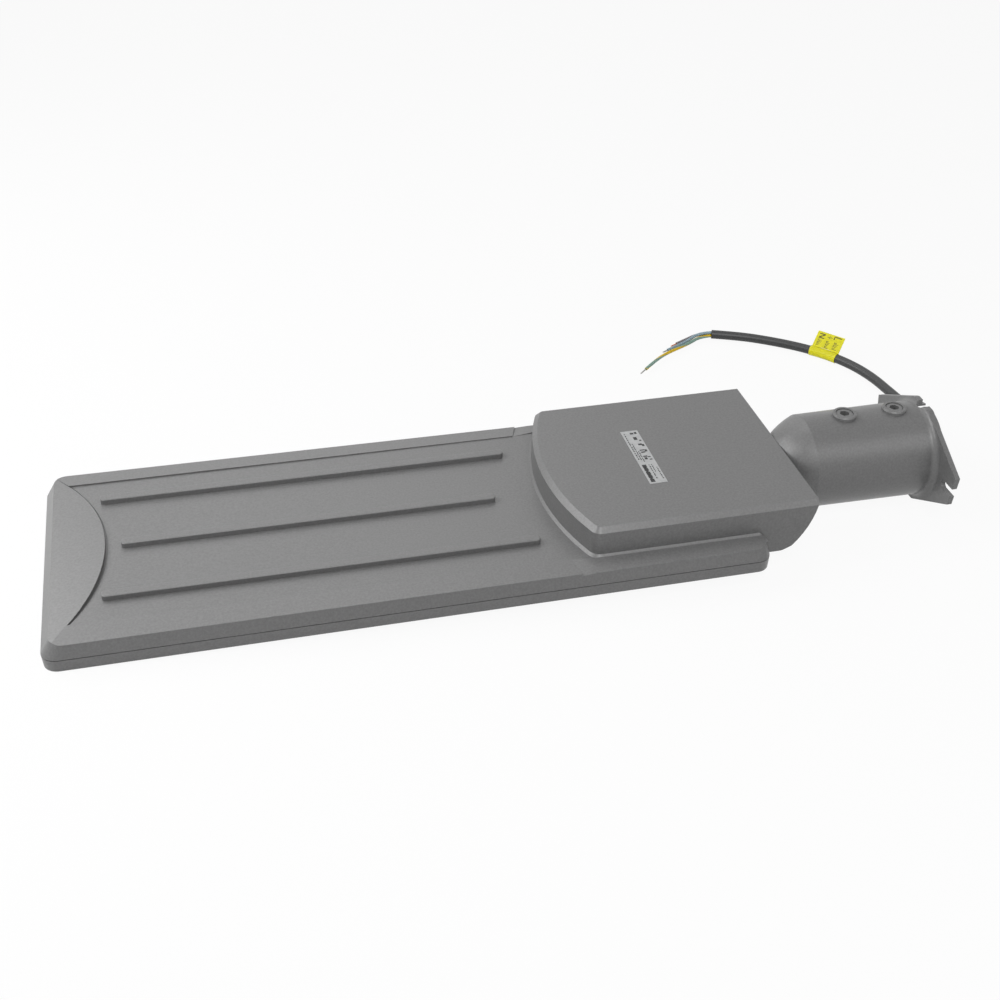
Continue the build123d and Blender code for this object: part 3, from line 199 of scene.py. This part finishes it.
# Gives a CAD node its material
def finishNode(node, material):
    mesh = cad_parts[node].data
    mesh.materials.clear()
    mesh.materials.append(materials[material])


# A merged copy of a CAD node: an edge is smooth where its faces meet at less than the angle
def smoothCopy(node, name, material, angle):
    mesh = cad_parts[node].data.copy()
    mesh.name = name
    shape = bmesh.new()
    shape.from_mesh(mesh)
    bmesh.ops.remove_doubles(shape, verts=shape.verts, dist=0.002 * mm)
    bmesh.ops.dissolve_degenerate(shape, edges=shape.edges, dist=0.001 * mm)
    for face in shape.faces:
        face.smooth = True
    for edge in shape.edges:
        edge.smooth = len(edge.link_faces) == 2 and edge.calc_face_angle(0.0) < radians(angle)
    shape.to_mesh(mesh)
    shape.free()
    mesh.materials.clear()
    mesh.materials.append(materials[material])
    piece = bpy.data.objects.new(name, mesh)
    bpy.context.scene.collection.objects.link(piece)
    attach(piece, "root")
    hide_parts(node)


# Cord as a NURBS curve through its route's control points, with a round section
def routeCurve(name, route, radius, material=None):
    curve = bpy.data.curves.new(name, "CURVE")
    curve.dimensions = "3D"
    spline = curve.splines.new("NURBS")
    spline.points.add(len(route) - 1)
    for point, (x, y, z) in zip(spline.points, route):
        point.co = (x * mm, y * mm, z * mm, 1.0)
    spline.order_u = 3
    spline.use_endpoint_u = True
    spline.resolution_u = 12
    curve.bevel_depth = radius * mm
    curve.bevel_resolution = 6
    curve.use_fill_caps = radius > 0
    if material:
        curve.materials.append(materials[material])
    piece = bpy.data.objects.new(name, curve)
    bpy.context.scene.collection.objects.link(piece)
    return piece


# Points on a route's own NURBS line, read back from a curve with no section, in mm
def pointsAlong(route):
    piece = routeCurve("lineOnly", route, 0.0)
    bpy.context.view_layer.update()
    line = bpy.data.meshes.new_from_object(piece)
    points = np.array([v.co for v in line.vertices]) / mm
    bpy.data.objects.remove(piece)
    return points


# Rings of a round tube: point + radius * (cos a * side + sin a * top), where side and top are
# square to the line's direction at that point
def tubeRings(line, radius, sides):
    along = np.gradient(line, axis=0)
    along /= np.linalg.norm(along, axis=1, keepdims=True)
    side = np.cross(along, (0.0, 0.0, 1.0))
    side /= np.linalg.norm(side, axis=1, keepdims=True)
    top = np.cross(side, along)
    angle = 2 * pi * np.arange(sides) / sides
    across = np.cos(angle)[None, :, None] * side[:, None] + np.sin(angle)[None, :, None] * top[:, None]
    return line[:, None] + radius * across


# Closed tubes in one mesh, from rings of shape (tubes, rings, sides, 3). Its UV map runs once
# round each tube in x, plus uvTurns over the tube's length, and along it in y.
def tubePiece(name, rings, material, uvTurns=0.0):
    tubes, count, sides = rings.shape[:3]
    index = np.arange(tubes * count * sides).reshape(tubes, count, sides)
    after = np.roll(index, -1, axis=2)
    quads = np.stack([index[:, :-1], index[:, 1:], after[:, 1:], after[:, :-1]], axis=-1).reshape(-1, 4)
    caps = index[:, 0].tolist() + index[:, -1, ::-1].tolist()
    piece = newPiece(name, rings, quads.tolist() + caps, material)
    centres = rings.mean(axis=2)
    steps = np.linalg.norm(np.diff(centres, axis=1), axis=2)
    run = np.concatenate([np.zeros((tubes, 1)), np.cumsum(steps, axis=1)], axis=1)
    run = np.broadcast_to((run / run[:, -1:])[:, :, None], (tubes, count, sides + 1))
    turns = np.broadcast_to(np.arange(sides + 1) / sides, run.shape) + uvTurns * run
    uv = np.stack([turns, run], axis=-1)
    corners = (uv[:, :-1, :-1], uv[:, 1:, :-1], uv[:, 1:, 1:], uv[:, :-1, 1:])
    uv = np.stack(corners, axis=-2).reshape(-1, 2)
    uv = np.concatenate([uv, np.zeros((2 * tubes * sides, 2))])
    piece.data.uv_layers.new(name="tube").data.foreach_set("uv", uv.ravel().astype(np.float32))
    smooth = np.arange(len(piece.data.polygons)) < len(quads)
    piece.data.polygons.foreach_set("use_smooth", smooth)
    return piece


# The camera comes first, at the photograph's angle, then the cords
view = {"place": (-492.1, -768.4, 537.5), "turn": (55.740, -0.390, -13.281), "lens": 51.54,
        "sensor": 36.0}
camera = bpy.data.objects.new("camera", bpy.data.cameras.new("camera"))
camera.location = [c * mm for c in view["place"]]
camera.rotation_euler = [radians(a) for a in view["turn"]]
camera.data.lens = view["lens"]
camera.data.sensor_width = view["sensor"]
bpy.context.scene.collection.objects.link(camera)
bpy.context.scene.camera = camera
print("stage: camera placed")

# Supply cable: its route's points, its own length and its radius
cable = {
    "radius": 3.7,
    "length": 449.5,
    "route": [
        (-127.0, 0.0, 0.0),
        (-103.0, 0.0, 0.0),
        (-80.0, 0.0, -1.0),
        (-56.0, -4.0, -6.5),
        (-33.0, -6.5, -12.5),
        (-9.0, -4.5, -17.0),
        (15.0, 4.0, -23.0),
        (34.0, 20.0, -29.5),
        (43.5, 45.0, -31.8),
        (46.0, 74.0, -32.0),
        (45.5, 100.0, -31.9),
        (42.4, 122.0, -31.9),
        (39.0, 150.0, -31.8),
        (30.5, 174.0, -31.5),
        (16.3, 194.6, -31.1),
        (-1.4, 211.2, -30.7),
        (-21.5, 224.9, -30.1),
        (-43.5, 236.6, -29.4),
        (-64.9, 243.8, -28.9),
    ],
}
sheath = routeCurve("supplySheath", cable["route"], cable["radius"], "black rubber sheath")
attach(sheath, "root")
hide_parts("supply_cable")

# Stripped cores and their bare ends, each a bundle of strands
coreRadius = 1.3
coreSides = 16
strand = {"radius": 0.2, "ring": 0.4, "twist": 2.2, "count": 7, "rings": 11, "sides": 6, "step": 0.04}
coreLooks = {
    "brown": {
        "length": 36.8, "finish": "grey brown core insulation", "slot": "core_brown", "uvTurns": 0.0,
        "bare": 7.0, "bareFinish": "bare copper", "bareSlot": "copper",
        "route": [
            (-64.6, 245.1, -29.65),
            (-75.4, 248.2, -29.9),
            (-87.2, 242.8, -30.6),
            (-98.5, 236.4, -30.3),
        ],
    },
    "blue": {
        "length": 49.4, "finish": "pale blue core insulation", "slot": "core_blue", "uvTurns": 0.0,
        "bare": 6.0, "bareFinish": "tinned copper", "bareSlot": "tinned_copper",
        "route": [
            (-65.1, 243.85, -27.4),
            (-75.8, 246.0, -27.9),
            (-88.2, 238.7, -30.2),
            (-100.5, 231.9, -30.2),
            (-109.5, 226.9, -30.0),
        ],
    },
    "earth": {
        "length": 86.9, "finish": "green and yellow core insulation", "slot": "core_green_yellow",
        "uvTurns": 1.6, "bare": 9.5, "bareFinish": "tinned copper", "bareSlot": "tinned_copper",
        "route": [
            (-65.62, 242.65, -29.65),
            (-75.6, 243.6, -30.2),
            (-87.0, 235.7, -30.6),
            (-101.0, 228.0, -30.2),
            (-115.0, 219.8, -29.8),
            (-127.0, 209.6, -29.5),
            (-137.8, 198.6, -29.2),
        ],
    },
}


# Rings of a bundle: one straight strand, and the others on start + d * s + e(s), where e turns on
# a small helix. Each is a little shorter than the last.
def bundleRings(start, direction, length):
    side = np.cross(direction, (0.0, 0.0, 1.0))
    side /= np.linalg.norm(side)
    top = np.cross(side, direction)
    number = np.arange(strand["count"])[:, None, None]
    run = np.linspace(0.0, 1.0, strand["rings"])[None, :, None]
    phase = 2 * pi * number / (strand["count"] - 1) + strand["twist"] * run
    ring = np.where(number == 0, 0.0, strand["ring"])
    reach = length * run * (1.0 - strand["step"] * (number % 3))
    lines = start + direction * reach + (side * np.cos(phase) + top * np.sin(phase)) * ring
    angle = (2 * pi * np.arange(strand["sides"]) / strand["sides"])[:, None]
    section = (side * np.cos(angle) + top * np.sin(angle)) * strand["radius"]
    return lines[:, :, None] + section


for tone, look in coreLooks.items():
    route = np.array(look["route"])
    rings = tubeRings(pointsAlong(look["route"]), coreRadius, coreSides)
    core = tubePiece(tone + "Core", rings[None], look["finish"], look["uvTurns"])
    ahead = (route[-1] - route[-2]) / np.linalg.norm(route[-1] - route[-2])
    bundle = bundleRings(route[-1], ahead, look["bare"])
    bare = tubePiece(tone + "Strands", bundle, look["bareFinish"])
    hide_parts("core_" + tone)
    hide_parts("copper_" + tone)
print("stage: cable and cores made")

# Flag tag: the CAD piece, with plain print on the flag. Each letter is strokes in its own units:
# how far up the letter, and how far along the line. Letters stand with their feet to the left.
tag = {
    "corner": 14, "length": 24.0, "thick": 0.4, "lean": 46.0, "inkLift": 0.03,
    "shapes": {
        "n": [(0, 0, 1, 0), (1, 0, 0, 1), (0, 1, 1, 1)],
        "l": [(1, 0, 0, 0), (0, 0, 0, 1)],
        "earth": [(0, 0.5, 0.5, 0.5), (0.5, 0, 0.5, 1), (0.75, 0.2, 0.75, 0.8), (1, 0.4, 1, 0.6)],
    },
    # which letter, its foot across the flag, its top edge up the flag, height, length, stroke
    "letters": [
        ("n", -9.6, 16.2, 5.0, 3.4, 0.95),
        ("l", 3.6, 16.8, 6.2, 2.7, 0.9),
        ("earth", -2.6, 16.2, 4.6, 2.6, 0.5),
    ],
    # small words, as rows of short strokes: left edge, top, height, how many
    "words": [(-9.3, 11.2, 3.6, 5), (-1.8, 11.4, 3.2, 6), (4.9, 12.0, 3.8, 6)],
    # from one row to the next, its stroke, and how far every second row's foot goes in and down
    "wordStep": 1.15, "wordStroke": 0.5, "footIn": 0.2, "footDown": 1.1, "footStroke": 0.45,
    "wordShares": (0.55, 0.45),  # a row's least share of the height, and what it may add
}
finishNode("cable_tag", "yellow film")
middle = Vector(cable["route"][tag["corner"]])
before = (Vector(cable["route"][tag["corner"] - 1]) - middle).normalized()
after = (Vector(cable["route"][tag["corner"] + 1]) - middle).normalized()
tagStart = middle + before * (tag["length"] / 2)
tagEnd = middle + after * (tag["length"] / 2)
tagMiddle = (tagStart + tagEnd) / 2
tagAlong = (tagStart - tagEnd).normalized()
tagLevel = tagAlong.cross(Vector((0, 0, -1))).normalized()
tagUp = tagLevel * cos(radians(tag["lean"])) + Vector((0, 0, 1)) * sin(radians(tag["lean"]))
tagNormal = tagAlong.cross(tagUp).normalized()
facing = 1.0 if tagNormal.dot(Vector(view["place"]) - tagMiddle) > 0 else -1.0
strokes = []
for letter, foot, top, height, length, width in tag["letters"]:
    for up0, along0, up1, along1 in tag["shapes"][letter]:
        strokes.append((foot + up0 * height, top - along0 * length, foot + up1 * height,
                        top - along1 * length, width))
for foot, top, height, count in tag["words"]:
    for k in range(count):
        lower = top - tag["wordStep"] * k
        least, more = tag["wordShares"]
        rise = height * (least + more * ((k * 3) % 4) / 3)
        strokes.append((foot, lower, foot + rise, lower, tag["wordStroke"]))
        if k % 2 == 0:
            inner = foot + tag["footIn"]
            strokes.append((inner, lower, inner, lower - tag["footDown"], tag["footStroke"]))
strokes = np.array(strokes)
# A stroke's corners are its ends +- width / 2 square to its run, then across * along + up * up
first, last, width = strokes[:, 0:2], strokes[:, 2:4], strokes[:, 4:5]
run = (last - first) / np.linalg.norm(last - first, axis=1, keepdims=True)
side = np.stack([-run[:, 1], run[:, 0]], axis=1) * width / 2
flat = np.stack([first - side, last - side, last + side, first + side], axis=1)
lift = np.array(tagNormal) * facing * (tag["thick"] / 2 + tag["inkLift"])
printed = np.array(tagMiddle) + flat[..., :1] * np.array(tagAlong) + flat[..., 1:] * np.array(tagUp) + lift
faces = np.arange(4 * len(strokes)).reshape(-1, 4)[:, :: int(facing)].tolist()
tagPrint = newPiece("tagPrint", printed, faces, "faded black ink")

for tone, look in coreLooks.items():
    (pointsAlong(look["route"]) * mm).tolist()

# Castings and turned pieces, smooth where the CAD is round: name, finish, slot, angle
coat = "powder coated die-cast aluminium"
roundPieces = {
    "upper_housing": ("housing", coat, "cast_grey", 20.0),
    "lower_frame": ("windowFrame", coat, "cast_grey", 20.0),
    "set_screw_inner": ("innerSetScrew", coat, "screw_steel", 28.0),
    "set_screw_outer": ("outerSetScrew", coat, "screw_steel", 28.0),
    "cable_gland": ("glandBody", "black polyamide", "gland_black", 28.0),
    "lens_sheet": ("lensArray", "clear lens moulding", "lens_clear", 28.0),
    "breather_vent": ("vent", "black polyamide", "gland_black", 28.0),
    "frame_screws": ("frameScrews", "zinc plated steel", "screw_steel", 28.0),
}
for node, (name, material, slot, angle) in roundPieces.items():
    smoothCopy(node, name, material, angle)
print("stage: castings finished")

nodeFinishes = {
    "rating_label": "silver grey printed film",
    "frame_gasket": "translucent silicone",
    "glass_gasket": "translucent silicone",
    "glass_cover": "toughened glass",
    "glass_clips": "spring steel",
    "clip_screws": "zinc plated steel",
    "led_board": "white solder mask",
    "leds": "yellow phosphor",
    "board_screws": "zinc plated steel",
    "driver_case": "white moulded plastic",
    "roof_screws": "zinc plated steel",
    "surge_module": "black moulded plastic",
    "terminal_block": "white moulded plastic",
    "terminal_screws": "zinc plated steel",
    "earth_screw": "turned brass",
    "gland_nut": "black polyamide",
    "led_leads": "red lead insulation",
    "driver_leads": "red lead insulation",
    "supply_leads": "grey brown core insulation",
}
for node, material in nodeFinishes.items():
    finishNode(node, material)
print("stage: node finishes set")

# Print on the rating label: plain fields and bars, with no lettering. Places are shares of its
# size, across it and along it.
label = {
    "x": (-214.0, -201.8), "half": 33.0, "top": 20.03,
    # rows of short fields: across, first, last, step
    "rows": (
        (0.11, 0.05, 0.60, 0.037), (0.24, 0.25, 0.61, 0.033), (0.36, 0.40, 0.62, 0.031),
        (0.50, 0.66, 0.96, 0.034), (0.64, 0.66, 0.84, 0.030), (0.84, 0.72, 0.96, 0.028),
    ),
    # square marks: centre across, centre along, half size across and along
    "marks": (
        (0.58, 0.055, 0.10, 0.016), (0.80, 0.05, 0.07, 0.020), (0.62, 0.155, 0.10, 0.028),
        (0.84, 0.20, 0.06, 0.012), (0.70, 0.275, 0.11, 0.016), (0.84, 0.295, 0.07, 0.020),
        (0.62, 0.385, 0.14, 0.010), (0.62, 0.425, 0.12, 0.012), (0.82, 0.40, 0.07, 0.020),
        (0.60, 0.505, 0.12, 0.012), (0.58, 0.545, 0.08, 0.020), (0.80, 0.52, 0.08, 0.009),
        (0.82, 0.57, 0.08, 0.009),
    ),
    # two combs of bars: edges across, where the first starts, bar lengths in turn, how many
    "combs": ((0.12, 0.36, 0.655, (0.058, 0.05), 5), (0.16, 0.30, 0.700, (0.027, 0.027), 4)),
    "combStep": 0.066,
}
fields = []
for left, right, first, lengths, count in label["combs"]:
    for k in range(count):
        start = first + label["combStep"] * k
        fields.append((left, right, start, start + lengths[k % 2]))
for across, first, last, step in label["rows"]:
    for k in range(int((last - first) / step)):
        start = first + step * k
        end = start + step * (0.55 + 0.125 * (k % 3))
        fields.append((across, across + 0.055 + 0.02 * (k % 2), start, end))
fields += [(a - wide, a + wide, b - tall, b + tall) for a, b, wide, tall in label["marks"]]
fields = np.array(fields)
# A field's corners: x goes across between the label's edges, y falls along it from its half length
x = label["x"][0] + (label["x"][1] - label["x"][0]) * fields[:, [0, 1, 1, 0]]
y = label["half"] - 2 * label["half"] * fields[:, [3, 3, 2, 2]]
corners = np.stack([x, y, np.full_like(x, label["top"])], axis=-1)
faces = np.arange(4 * len(fields)).reshape(-1, 4).tolist()
newPiece("labelPrint", corners, faces, "black ink")
print("stage: label printed")

# Pale floor: the lamp rests on the flange's foot and the body's far edge, so it is a little tilted.
# plain is the share of plain white that rays from the camera, from metal and through glass see.
ground = {"tip": -602.7, "foot": -37.3, "base": -17.7, "half": 6000.0, "gap": 0.05, "plain": 0.93,
          "paint": "E6E6E6", "roughness": 0.9}
slope = (ground["base"] - ground["foot"]) / -ground["tip"]
corner = np.array([(-1, -1), (1, -1), (1, 1), (-1, 1)]) * ground["half"]
height = ground["foot"] - ground["gap"] - corner[:, :1] * slope
floorMesh = bpy.data.meshes.new("floor")
floorMesh.from_pydata((np.hstack([corner, height]) * mm).tolist(), [], [(0, 1, 2, 3)])
floor = bpy.data.objects.new("floor", floorMesh)
bpy.context.scene.collection.objects.link(floor)


# Share of plain white for rays from the camera, off metal and through glass: the greatest of the
# three, times the share
def seenShare(tree, share):
    rays = addNode(tree, "ShaderNodeLightPath")
    glossy = {0: rays.outputs["Is Camera Ray"], 1: rays.outputs["Is Glossy Ray"]}
    either = addNode(tree, "ShaderNodeMath", links=glossy, operation="MAXIMUM")
    clear = {0: either.outputs["Value"], 1: rays.outputs["Is Transmission Ray"]}
    seen = addNode(tree, "ShaderNodeMath", links=clear, operation="MAXIMUM")
    part = addNode(tree, "ShaderNodeMath", {1: share}, {0: seen.outputs["Value"]}, operation="MULTIPLY")
    return part.outputs["Value"]


# Matt white paint: a plain pale ground that keeps a soft shadow of the lamp
paper = bpy.data.materials.new("matt white paper")
paper.use_nodes = True
tree = paper.node_tree
matt = tree.nodes["Principled BSDF"]
matt.inputs["Base Color"].default_value = linearColour(ground["paint"])
matt.inputs["Roughness"].default_value = ground["roughness"]
matt.inputs["Specular IOR Level"].default_value = 0.0
plain = addNode(tree, "ShaderNodeEmission", {"Color": (1.0, 1.0, 1.0, 1.0)})
ends = {0: seenShare(tree, ground["plain"]), 1: matt.outputs["BSDF"], 2: plain.outputs["Emission"]}
mixed = addNode(tree, "ShaderNodeMixShader", links=ends)
tree.links.new(mixed.outputs["Shader"], tree.nodes["Material Output"].inputs["Surface"])
floorMesh.materials.append(paper)

# World: soft grey light, and plain white where it is seen
sky = {"light": 0.08, "white": 1.0}
world = bpy.data.worlds.new("studio")
bpy.context.scene.world = world
world.use_nodes = True
tree = world.node_tree
soft = tree.nodes["Background"]
soft.inputs["Color"].default_value = (1.0, 1.0, 1.0, 1.0)
soft.inputs["Strength"].default_value = sky["light"]
white = addNode(tree, "ShaderNodeBackground", {"Color": (1.0, 1.0, 1.0, 1.0), "Strength": sky["white"]})
ends = {0: seenShare(tree, 1.0), 1: soft.outputs["Background"], 2: white.outputs["Background"]}
mixed = addNode(tree, "ShaderNodeMixShader", links=ends)
tree.links.new(mixed.outputs["Shader"], tree.nodes["World Output"].inputs["Surface"])

# Soft boxes: place, what each faces, size and power
softBoxes = {
    "frontLight": ((-350.0, -1000.0, 1200.0), (-200.0, 0.0, 0.0), 700.0, 10.2),
    "backLight": ((-300.0, 700.0, 1300.0), (-300.0, 0.0, 0.0), 700.0, 2.5),
    "backFill": ((-300.0, 1500.0, 900.0), (-300.0, 0.0, 0.0), 800.0, 1.2),
    "farEndLight": ((-1000.0, 0.0, 600.0), (-450.0, 0.0, 0.0), 500.0, 4.0),
    "farEndFill": ((-950.0, 500.0, 600.0), (-450.0, 0.0, 0.0), 500.0, 2.7),
    "nearLight": ((300.0, -500.0, 500.0), (-100.0, 0.0, 0.0), 400.0, 0.9),
}
for name, (place, target, size, power) in softBoxes.items():
    light = bpy.data.lights.new(name, "AREA")
    light.shape = "SQUARE"
    light.size = size * mm
    light.energy = power
    lamp = bpy.data.objects.new(name, light)
    lamp.location = [c * mm for c in place]
    lamp.rotation_euler = (Vector(target) - Vector(place)).to_track_quat("-Z", "Y").to_euler()
    bpy.context.scene.collection.objects.link(lamp)
print("stage: floor and light made")
